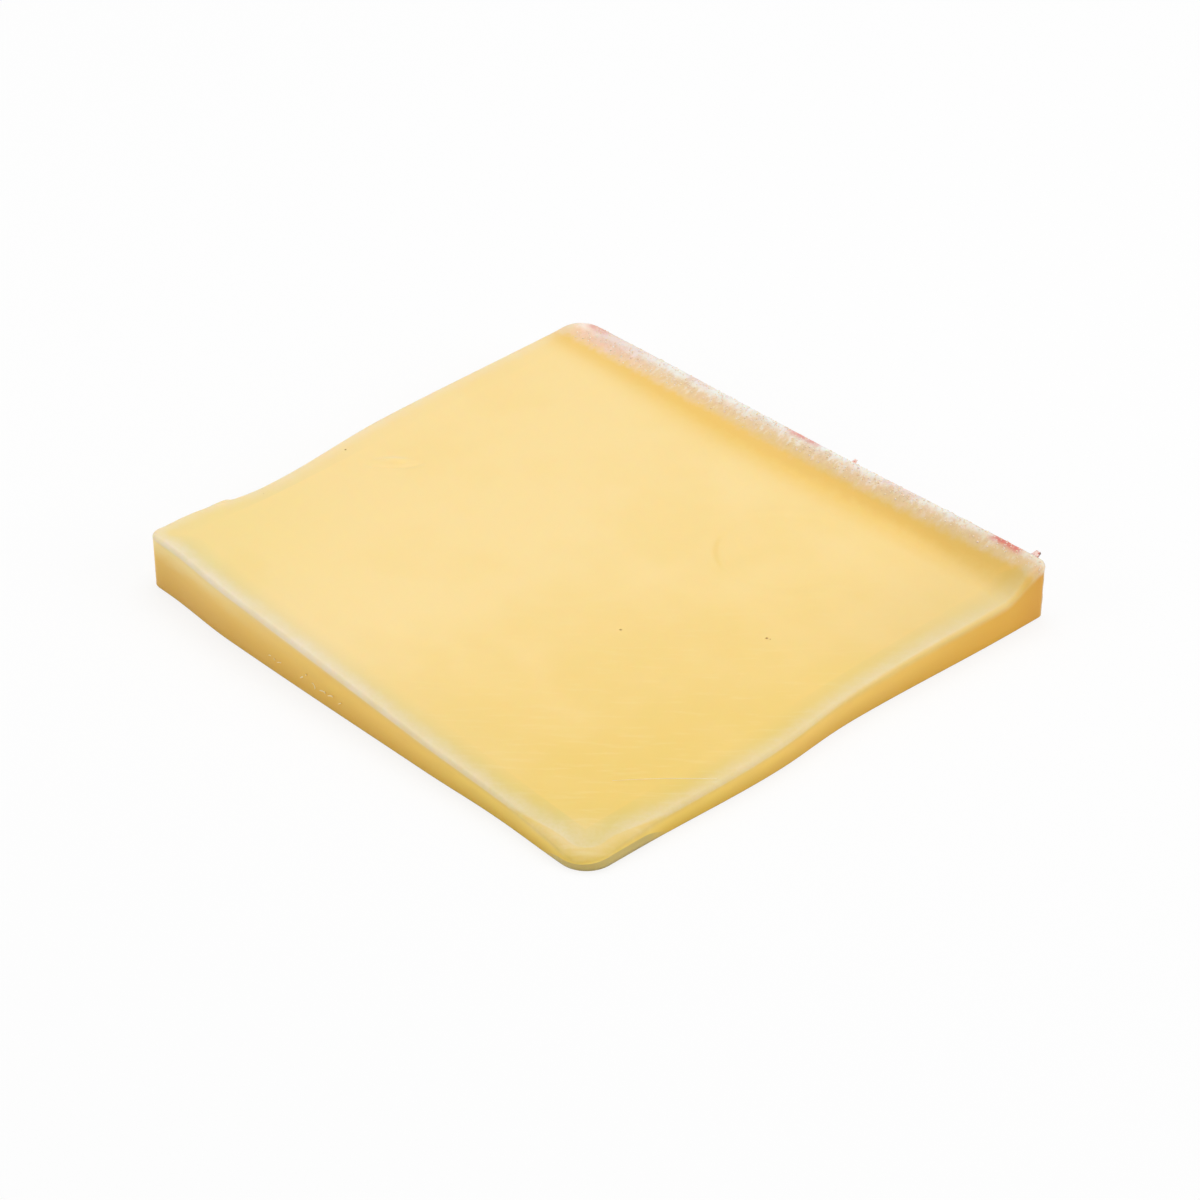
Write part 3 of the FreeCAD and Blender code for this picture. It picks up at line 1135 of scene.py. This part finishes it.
def place_piece(mesh, name, material, hides=None):
    """Puts a finished mesh in the scene, riding on the slab's body."""
    piece = bpy.data.objects.new(name, mesh)
    bpy.context.scene.collection.objects.link(piece)
    mesh.materials.clear()
    mesh.materials.append(material)
    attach(piece, BODY)
    if hides:
        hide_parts(hides)
    return piece


class CHEESE_OT_slab(bpy.types.Operator):
    """Builds the slab itself, from its outline and its top"""

    bl_idname = "cheese.slab"
    bl_label = "Slab"

    def execute(self, context):
        scene = context.scene
        rings = slab_rings(scene.slab_shape, scene.rind_look)
        material = slab_material(scene.paste_look, scene.rind_look)
        place_piece(rings.mesh("slab_body"), "slab_body", material, hides=NODE)
        return {"FINISHED"}


# Where grains lie: this far in from the rind, this far down its outer face, and how much closer to
# the rind than the crust's own crumbs they thin out
GRAIN_REACH = 8.5 * MM
GRAIN_DROP = 0.6 * MM
GRAIN_SET_BACK = 0.8 * MM


def point_values(mesh, name):
    """The values of one point attribute."""
    values = np.empty(len(mesh.vertices))
    mesh.attributes[name].data.foreach_get("value", values)
    return values


def crust_patch(slab):
    """A copy of the slab's crust alone, with how thickly grains lie on it."""
    mesh = slab.data
    rind = point_values(mesh, "rind")
    inset = point_values(mesh, "inset")
    points = np.empty(len(rind) * 3)
    mesh.vertices.foreach_get("co", points)
    points = points.reshape(-1, 3)
    keep = (rind < GRAIN_REACH) & (inset > -GRAIN_DROP)
    faces = [tuple(face.vertices) for face in mesh.polygons if all(keep[i] for i in face.vertices)]
    used = sorted({index for face in faces for index in face})
    renumber = {old: new for new, old in enumerate(used)}
    patch = bpy.data.meshes.new("crust_patch")
    patch.from_pydata(points[used].tolist(), [], [tuple(renumber[i] for i in face) for face in faces])
    thickness = patch.attributes.new("thickness", "FLOAT", "POINT")
    thickness.data.foreach_set("value", crust_share(points[used, 0], rind[used] + GRAIN_SET_BACK))
    return patch


class TreeBook(NodeMaker):
    """A geometry node tree that ends in Realize Instances and Set Material."""

    def __init__(self, name, inputs):
        self.tree = bpy.data.node_groups.new(name, "GeometryNodeTree")
        interface = self.tree.interface
        interface.new_socket("Geometry", in_out="INPUT", socket_type="NodeSocketGeometry")
        interface.new_socket("Geometry", in_out="OUTPUT", socket_type="NodeSocketGeometry")
        self.sockets = {}
        for label, kind in inputs.items():
            socket = interface.new_socket(label, in_out="INPUT", socket_type=kind)
            self.sockets[label] = socket.identifier
        self.given = self.node("NodeGroupInput").outputs

    def attribute(self, name, kind="FLOAT"):
        """The values of one of the base mesh's point attributes."""
        node = self.node("GeometryNodeInputNamedAttribute", {"Name": name}, data_type=kind)
        return node.outputs["Attribute"]

    def random(self, kind, low, high, seed):
        """A random number or vector with its own fixed seed."""
        first, result = (0, 0) if kind == "FLOAT_VECTOR" else (2, 1)
        inputs = {first: low, first + 1: high, "Seed": seed}
        return self.node("FunctionNodeRandomValue", inputs, data_type=kind).outputs[result]

    def finish(self, instances):
        """Smooths and realizes the instances, sets the material and ends the tree."""
        smoothed = self.node("GeometryNodeSetShadeSmooth", {0: instances})
        realized = self.node("GeometryNodeRealizeInstances", {0: smoothed.outputs[0]})
        inputs = {"Geometry": realized.outputs[0], "Material": self.given["Material"]}
        painted = self.node("GeometryNodeSetMaterial", inputs)
        self.node("NodeGroupOutput", {0: painted.outputs[0]})

    def baked(self, base, name, values):
        """Runs the tree on a base mesh with these inputs, and returns the plain mesh that it makes."""
        carrier = bpy.data.objects.new(name, base)
        bpy.context.scene.collection.objects.link(carrier)
        modifier = carrier.modifiers.new(name, "NODES")
        modifier.node_group = self.tree
        for label, value in values.items():
            modifier[self.sockets[label]] = value
        depsgraph = bpy.context.evaluated_depsgraph_get()
        mesh = bpy.data.meshes.new_from_object(carrier.evaluated_get(depsgraph), depsgraph=depsgraph,
                                               preserve_all_data_layers=True)
        carrier.modifiers.clear()
        bpy.data.objects.remove(carrier)
        mesh.name = name
        return mesh


# How a grain is squashed and turned at random: the lowest and the highest of each
GRAIN_SQUASH = ((0.75, 0.65, 0.35), (1.25, 1.1, 0.75))
GRAIN_TURN = ((-0.4, -0.4, 0.0), (0.4, 0.4, 2 * math.pi))


def grain_tree():
    """Scatters small flattened grains over the crust."""
    book = TreeBook("scatter crust grains", {
        "Density": "NodeSocketFloat", "Smallest": "NodeSocketFloat", "Largest": "NodeSocketFloat",
        "Seed": "NodeSocketInt", "Material": "NodeSocketMaterial",
    })
    given = book.given
    scatter = book.node("GeometryNodeDistributePointsOnFaces", {
        "Mesh": given["Geometry"], "Seed": given["Seed"],
        "Density": book.math("MULTIPLY", given["Density"], book.attribute("thickness")),
    }, distribute_method="RANDOM")
    grain = book.node("GeometryNodeMeshIcoSphere", {"Radius": 1.0, "Subdivisions": 1})
    scale = book.node("ShaderNodeVectorMath", {
        0: book.random("FLOAT_VECTOR", *GRAIN_SQUASH, seed=2),
        "Scale": book.random("FLOAT", given["Smallest"], given["Largest"], seed=1),
    }, operation="SCALE")
    spread = book.node("GeometryNodeInstanceOnPoints", {
        "Points": scatter.outputs["Points"], "Rotation": scatter.outputs["Rotation"],
        "Instance": grain.outputs["Mesh"], "Scale": scale.outputs[0],
    })
    spun = book.node("GeometryNodeRotateInstances", {
        "Instances": spread.outputs[0], "Rotation": book.random("FLOAT_VECTOR", *GRAIN_TURN, seed=3),
    })
    toned = book.node("GeometryNodeStoreNamedAttribute", {
        "Geometry": spun.outputs[0], "Name": "tone", "Value": book.random("FLOAT", 0.0, 1.0, seed=4),
    }, data_type="FLOAT", domain="INSTANCE")
    book.finish(toned.outputs[0])
    return book


class CHEESE_OT_grains(bpy.types.Operator):
    """Scatters loose grains over the crust by the rind"""

    bl_idname = "cheese.grains"
    bl_label = "Crust grains"

    def execute(self, context):
        scene = context.scene
        settings = scene.grain_settings
        slab = bpy.data.objects.get("slab_body")
        if slab is None:
            raise RuntimeError("the slab is built before its grains")
        material = grain_material()
        mesh = grain_tree().baked(crust_patch(slab), "crust_grains", {
            "Density": settings.density, "Smallest": settings.smallest, "Largest": settings.largest,
            "Seed": settings.seed, "Material": material,
        })
        place_piece(mesh, "crust_grains", material)
        return {"FINISHED"}


# Shavings clinging to the cut sides: place, length, turn round the upright, and roll, in radians
SHAVINGS = [
    ((-25.6 * MM, -63.9 * MM, 3.4 * MM), 2.0 * MM, 0.0, 0.15),
    ((-23.3 * MM, -63.9 * MM, 3.3 * MM), 1.3 * MM, 0.0, -0.35),
    ((-15.6 * MM, -63.9 * MM, 4.1 * MM), 2.6 * MM, 0.0, -0.75),
    ((-12.6 * MM, -63.9 * MM, 3.3 * MM), 1.4 * MM, 0.0, 0.9),
    ((-9.8 * MM, -63.9 * MM, 3.3 * MM), 1.8 * MM, 0.0, -0.1),
    ((-7.4 * MM, -63.9 * MM, 3.5 * MM), 1.6 * MM, 0.0, -0.3),
    ((-4.6 * MM, -63.9 * MM, 3.2 * MM), 1.2 * MM, 0.0, -0.6),
    ((66.1 * MM, -38.6 * MM, 1.1 * MM), 1.7 * MM, math.pi / 2, 1.2),
    ((66.2 * MM, -29.3 * MM, 2.6 * MM), 0.8 * MM, math.pi / 2, 0.3),
]

# A shaving of length 1: its arc's radius, start and sweep, how far the arc is brought down, its
# half thickness, and how that is scaled at the ends and swells towards the middle
CURL_RADIUS = 0.62
CURL_START = math.radians(36)
CURL_SWEEP = math.radians(108)
CURL_DROP = 0.45
CURL_THICKNESS = 0.10
CURL_END = 0.2
CURL_SWELL = 3.2


def shaving_base():
    """One point for each shaving, with its length and how it is turned."""
    mesh = bpy.data.meshes.new("shaving_points")
    mesh.from_pydata([place for place, _, _, _ in SHAVINGS], [], [])
    reach = mesh.attributes.new("reach", "FLOAT", "POINT")
    reach.data.foreach_set("value", [length for _, length, _, _ in SHAVINGS])
    turned = mesh.attributes.new("turned", "FLOAT_VECTOR", "POINT")
    turns = [(0.0, roll, turn) for _, _, turn, roll in SHAVINGS]
    turned.data.foreach_set("vector", np.array(turns).ravel())
    return mesh


def shaving_tree():
    """Puts a thin curved curl of paste at each point."""
    book = TreeBook("curl shavings", {
        "Thickness": "NodeSocketFloat", "Material": "NodeSocketMaterial",
    })
    arc = book.node("GeometryNodeCurveArc", {
        "Resolution": 12, "Radius": CURL_RADIUS, "Start Angle": CURL_START, "Sweep Angle": CURL_SWEEP,
    })
    centred = book.node("GeometryNodeTransform", {
        0: arc.outputs[0], "Translation": (0.0, -CURL_DROP, 0.0),
    })
    along = book.node("GeometryNodeSplineParameter").outputs["Factor"]
    bell = book.math("MULTIPLY", along, book.math("SUBTRACT", 1.0, along))
    profile = book.node("GeometryNodeCurvePrimitiveCircle", {
        "Resolution": 8, "Radius": book.given["Thickness"],
    })
    curl = book.node("GeometryNodeCurveToMesh", {
        "Curve": centred.outputs[0], "Profile Curve": profile.outputs[0], "Fill Caps": True,
        "Scale": book.math("MULTIPLY_ADD", bell, CURL_SWELL, CURL_END),
    })
    spread = book.node("GeometryNodeInstanceOnPoints", {
        "Points": book.given["Geometry"], "Instance": curl.outputs[0],
        "Rotation": book.attribute("turned", "FLOAT_VECTOR"), "Scale": book.attribute("reach"),
    })
    book.finish(spread.outputs[0])
    return book


class CHEESE_OT_shavings(bpy.types.Operator):
    """Adds the thin curls of paste that the knife left on the cut sides"""

    bl_idname = "cheese.shavings"
    bl_label = "Shavings"

    def execute(self, context):
        material = shaving_material()
        values = {"Thickness": CURL_THICKNESS, "Material": material}
        mesh = shaving_tree().baked(shaving_base(), "cut_shavings", values)
        place_piece(mesh, "cut_shavings", material)
        return {"FINISHED"}


# The fine scored line by the toe: its two ends on the top, its half width, how far it strays
# from straight, and where across it stands up from the top and where it goes in
SCORE_ENDS = ((52.5 * MM, -43.8 * MM), (65.6 * MM, -28.6 * MM))
SCORE_HALF = 0.15 * MM
SCORE_STRAY = 0.25 * MM
SCORE_STEPS = 60
SCORE_SECTION = ((-1.0, -0.10 * MM), (-0.4, 0.10 * MM), (0.4, 0.10 * MM), (1.0, -0.10 * MM))


def score_mesh(shape, look):
    """A thin raised line that lies along the top, narrower and lower towards its start."""
    start, end = (np.array(point) for point in SCORE_ENDS)
    shares = np.linspace(0.0, 1.0, SCORE_STEPS + 1)
    middle = between(start, end, shares[:, None])
    aside = np.array([-(end - start)[1], (end - start)[0]]) / np.linalg.norm(end - start)
    middle += aside * (SCORE_STRAY * np.sin(shares * 4.0))[:, None]
    rows = []
    for offset, lift in SCORE_SECTION:
        flat = middle + aside * (offset * SCORE_HALF * (0.3 + 0.7 * shares))[:, None]
        x, y = flat[:, 0], flat[:, 1]
        z = top_height(shape, x, y) + top_relief(look, x, y, rind_line(shape, x) - y) + lift
        rows.append(np.stack([x, y, z - 0.03 * MM * (1.0 - shares)], axis=1))
    points = np.concatenate(rows)
    row = SCORE_STEPS + 1
    faces = []
    for strip in range(4):
        here = strip * row
        there = (strip + 1) % 4 * row
        faces += [(here + i + 1, there + i + 1, there + i, here + i) for i in range(SCORE_STEPS)]
    faces.append((0, row, 2 * row, 3 * row))
    faces.append(tuple(strip * row + SCORE_STEPS for strip in (3, 2, 1, 0)))
    mesh = bpy.data.meshes.new("scored_line")
    mesh.from_pydata(points.tolist(), [], faces)
    mesh.validate()
    mesh.shade_smooth()
    return mesh


class CHEESE_OT_score(bpy.types.Operator):
    """Adds the fine scored line that runs to the right rim"""

    bl_idname = "cheese.score"
    bl_label = "Scored line"

    def execute(self, context):
        scene = context.scene
        # The scored line takes the shavings' pale colour, partly painted highlight for its bright glint.
        place_piece(score_mesh(scene.slab_shape, scene.rind_look), "scored_line", shaving_material())
        return {"FINISHED"}


# Flakes standing on the outer edge of the rind: x, width, height, lean and seed
FLAKES = [(64.8 * MM, 2.6 * MM, 0.8 * MM, 2.2, 3), (15.0 * MM, 1.5 * MM, 0.6 * MM, 1.6, 5),
          (58.0 * MM, 2.4 * MM, 0.4 * MM, 1.2, 8), (-61.0 * MM, 1.8 * MM, 0.4 * MM, 1.0, 12)]
FLAKE_COLUMNS = 8
FLAKE_ROWS = 5
FLAKE_INSET = 0.8 * MM      # from the rind's outer face to a flake's root
FLAKE_ROOT = 1.3 * MM       # how deep the root is under the smooth top


def flake_points(shape, x, width, height, lean, seed):
    """Two thin sheets of points, front and back, of one ragged flake."""
    foot_y = rind_line(shape, x) - FLAKE_INSET
    foot_z = float(top_height(shape, np.array(x), np.array(foot_y))) - FLAKE_ROOT
    sheets = []
    for side in (-1.0, 1.0):
        for j in range(FLAKE_ROWS + 1):
            rise = j / FLAKE_ROWS
            for i in range(FLAKE_COLUMNS + 1):
                across = i / FLAKE_COLUMNS * 2 - 1
                ragged = 1.0 + 0.3 * noise.noise(Vector((across * 2.1 + seed, seed * 1.7, 0.0)))
                thickness = 0.16 * MM * (1.0 - rise * 0.7) * (1.0 - across ** 4 * 0.9) + 0.01 * MM
                aside = across * (1.0 - 0.45 * rise) * width / 2
                up = (height + 0.5 * MM) * rise * ragged * (1.0 - 0.35 * across * across)
                bow = 0.3 * MM * across * across + lean * height * rise * rise
                sheets.append((x + aside, foot_y + bow + side * thickness, foot_z + up))
    return sheets


def flake_faces(first):
    """Faces of the two sheets and of the edge that joins them."""
    row = FLAKE_COLUMNS + 1
    sheet = row * (FLAKE_ROWS + 1)
    faces = []
    for j in range(FLAKE_ROWS):
        for i in range(FLAKE_COLUMNS):
            a = first + j * row + i
            b = a + sheet
            faces.append((a, a + 1, a + row + 1, a + row))
            faces.append((b + row, b + row + 1, b + 1, b))
    rim = list(range(row)) + [j * row + FLAKE_COLUMNS for j in range(1, FLAKE_ROWS + 1)]
    rim += [FLAKE_ROWS * row + i for i in range(FLAKE_COLUMNS - 1, -1, -1)]
    rim += [j * row for j in range(FLAKE_ROWS - 1, 0, -1)]
    for here, there in zip(rim, rim[1:] + rim[:1]):
        faces.append((first + there, first + here, first + sheet + here, first + sheet + there))
    return faces


class CHEESE_OT_flakes(bpy.types.Operator):
    """Adds the stained flakes that stand on the outer edge of the rind"""

    bl_idname = "cheese.flakes"
    bl_label = "Rind flakes"

    def execute(self, context):
        scene = context.scene
        points, faces = [], []
        for flake in FLAKES:
            faces += flake_faces(len(points))
            points += flake_points(scene.slab_shape, *flake)
        mesh = bpy.data.meshes.new("rind_flakes")
        mesh.from_pydata(points, [], faces)
        mesh.validate()
        mesh.shade_smooth()
        place_piece(mesh, "rind_flakes", flake_material(scene.rind_look))
        return {"FINISHED"}


# Studio -----------------------------------------------------------------------------------------


# How white the floor is, how much it glows to the eye, and how far under the slab it lies, so
# that the two faces don't meet
FLOOR_WHITE = 0.92
FLOOR_GLOW = 0.8
FLOOR_GAP = 0.02 * MM


def floor_material():
    """Matt white floor that looks plain white to the eye and still takes shadows."""
    book = NodeBook("white floor")
    nodes = book.tree.nodes
    diffuse = book.node("ShaderNodeBsdfDiffuse", {"Color": opaque([FLOOR_WHITE] * 3)})
    glow = book.node("ShaderNodeEmission", {"Color": opaque([1.0] * 3)})
    seen = book.node("ShaderNodeLightPath")
    rays = ("Is Camera Ray", "Is Glossy Ray", "Is Transmission Ray")
    seen_directly = book.highest(*[seen.outputs[ray] for ray in rays])
    blend = book.node("ShaderNodeMixShader", {
        0: book.product(seen_directly, FLOOR_GLOW), 1: diffuse.outputs[0], 2: glow.outputs[0],
    })
    book.feed(nodes["Material Output"].inputs["Surface"], blend.outputs[0])
    nodes.remove(book.bsdf)
    return book.material


def add_floor(settings):
    half = settings.floor_size / 2
    corners = [(-half, -half, 0), (half, -half, 0), (half, half, 0), (-half, half, 0)]
    mesh = bpy.data.meshes.new("floor")
    mesh.from_pydata(corners, [], [(0, 1, 2, 3)])
    mesh.materials.append(floor_material())
    floor = bpy.data.objects.new("floor", mesh)
    floor.location.z = -FLOOR_GAP
    bpy.context.scene.collection.objects.link(floor)


def add_room(settings):
    """Even white light from all round."""
    world = bpy.data.worlds.new("room")
    world.use_nodes = True
    world.node_tree.nodes["Background"].inputs["Color"].default_value = (1.0, 1.0, 1.0, 1.0)
    world.node_tree.nodes["Background"].inputs["Strength"].default_value = settings.room
    bpy.context.scene.world = world


def camera_back(settings, azimuth=None, elevation=None):
    """Direction from the object to a viewer at these angles."""
    turn = settings.azimuth if azimuth is None else math.radians(azimuth)
    rise = settings.elevation if elevation is None else math.radians(elevation)
    return Vector((math.sin(turn) * math.cos(rise), -math.cos(turn) * math.cos(rise), math.sin(rise)))


# Soft boxes: turn and height they shine from, in degrees, then distance, side and power
SOFT_BOXES = {
    "top_light": (215.0, 76.0, 1.1, 0.9, 5.9),
    "right_light": (118.0, 28.0, 1.2, 0.7, 3.2),
    "left_light": (-30.0, 26.0, 1.2, 0.7, 2.3),
}


def add_soft_boxes(settings):
    for name, (azimuth, elevation, distance, side, power) in SOFT_BOXES.items():
        lamp = bpy.data.lights.new(name, "AREA")
        lamp.shape = "SQUARE"
        lamp.size = side
        lamp.energy = power
        box = bpy.data.objects.new(name, lamp)
        towards = camera_back(settings, azimuth, elevation)
        box.location = towards * distance
        box.rotation_euler = towards.to_track_quat("Z", "Y").to_euler()
        bpy.context.scene.collection.objects.link(box)


# The point on the floor that the camera looks at
AIM = Vector((1.95 * MM, 0.95 * MM, 0.0))


def add_camera(settings):
    lens = bpy.data.cameras.new("camera")
    lens.sensor_width = 36.0
    lens.lens = settings.lens
    lens.clip_start = 0.01
    camera = bpy.data.objects.new("camera", lens)
    back = camera_back(settings)
    camera.location = AIM + back * settings.camera_distance
    camera.rotation_euler = back.to_track_quat("Z", "Y").to_euler()
    bpy.context.scene.collection.objects.link(camera)
    bpy.context.scene.camera = camera


class CHEESE_OT_studio(bpy.types.Operator):
    """Adds the pale floor, the soft lights and the camera"""

    bl_idname = "cheese.studio"
    bl_label = "Studio"

    def execute(self, context):
        settings = context.scene.studio_settings
        add_floor(settings)
        add_room(settings)
        add_soft_boxes(settings)
        add_camera(settings)
        context.scene.view_settings.view_transform = "Standard"
        return {"FINISHED"}


class CHEESE_PT_panel(bpy.types.Panel):
    """Lists the pieces of the slab and its studio"""

    bl_idname = "CHEESE_PT_panel"
    bl_label = "Cheese Slab"
    bl_space_type = "VIEW_3D"
    bl_region_type = "UI"
    bl_category = "Cheese"

    def draw(self, context):
        column = self.layout.column()
        for operator in OPERATORS:
            column.operator(operator.bl_idname)


GROUPS = {
    "slab_shape": SlabShape,
    "paste_look": PasteLook,
    "rind_look": RindLook,
    "grain_settings": GrainSettings,
    "studio_settings": StudioSettings,
}
OPERATORS = [CHEESE_OT_studio, CHEESE_OT_slab, CHEESE_OT_grains, CHEESE_OT_shavings, CHEESE_OT_score,
             CHEESE_OT_flakes]


def register():
    for name, group in GROUPS.items():
        bpy.utils.register_class(group)
        setattr(bpy.types.Scene, name, bpy.props.PointerProperty(type=group))
    for cls in OPERATORS + [CHEESE_PT_panel]:
        bpy.utils.register_class(cls)


def unregister():
    for cls in reversed(OPERATORS + [CHEESE_PT_panel]):
        bpy.utils.unregister_class(cls)
    for name, group in reversed(GROUPS.items()):
        delattr(bpy.types.Scene, name)
        bpy.utils.unregister_class(group)


def main():
    register()
    bpy.ops.cheese.studio()
    bpy.ops.cheese.slab()
    bpy.ops.cheese.grains()
    bpy.ops.cheese.shavings()
    bpy.ops.cheese.score()
    bpy.ops.cheese.flakes()


if __name__ == "__main__":
    main()
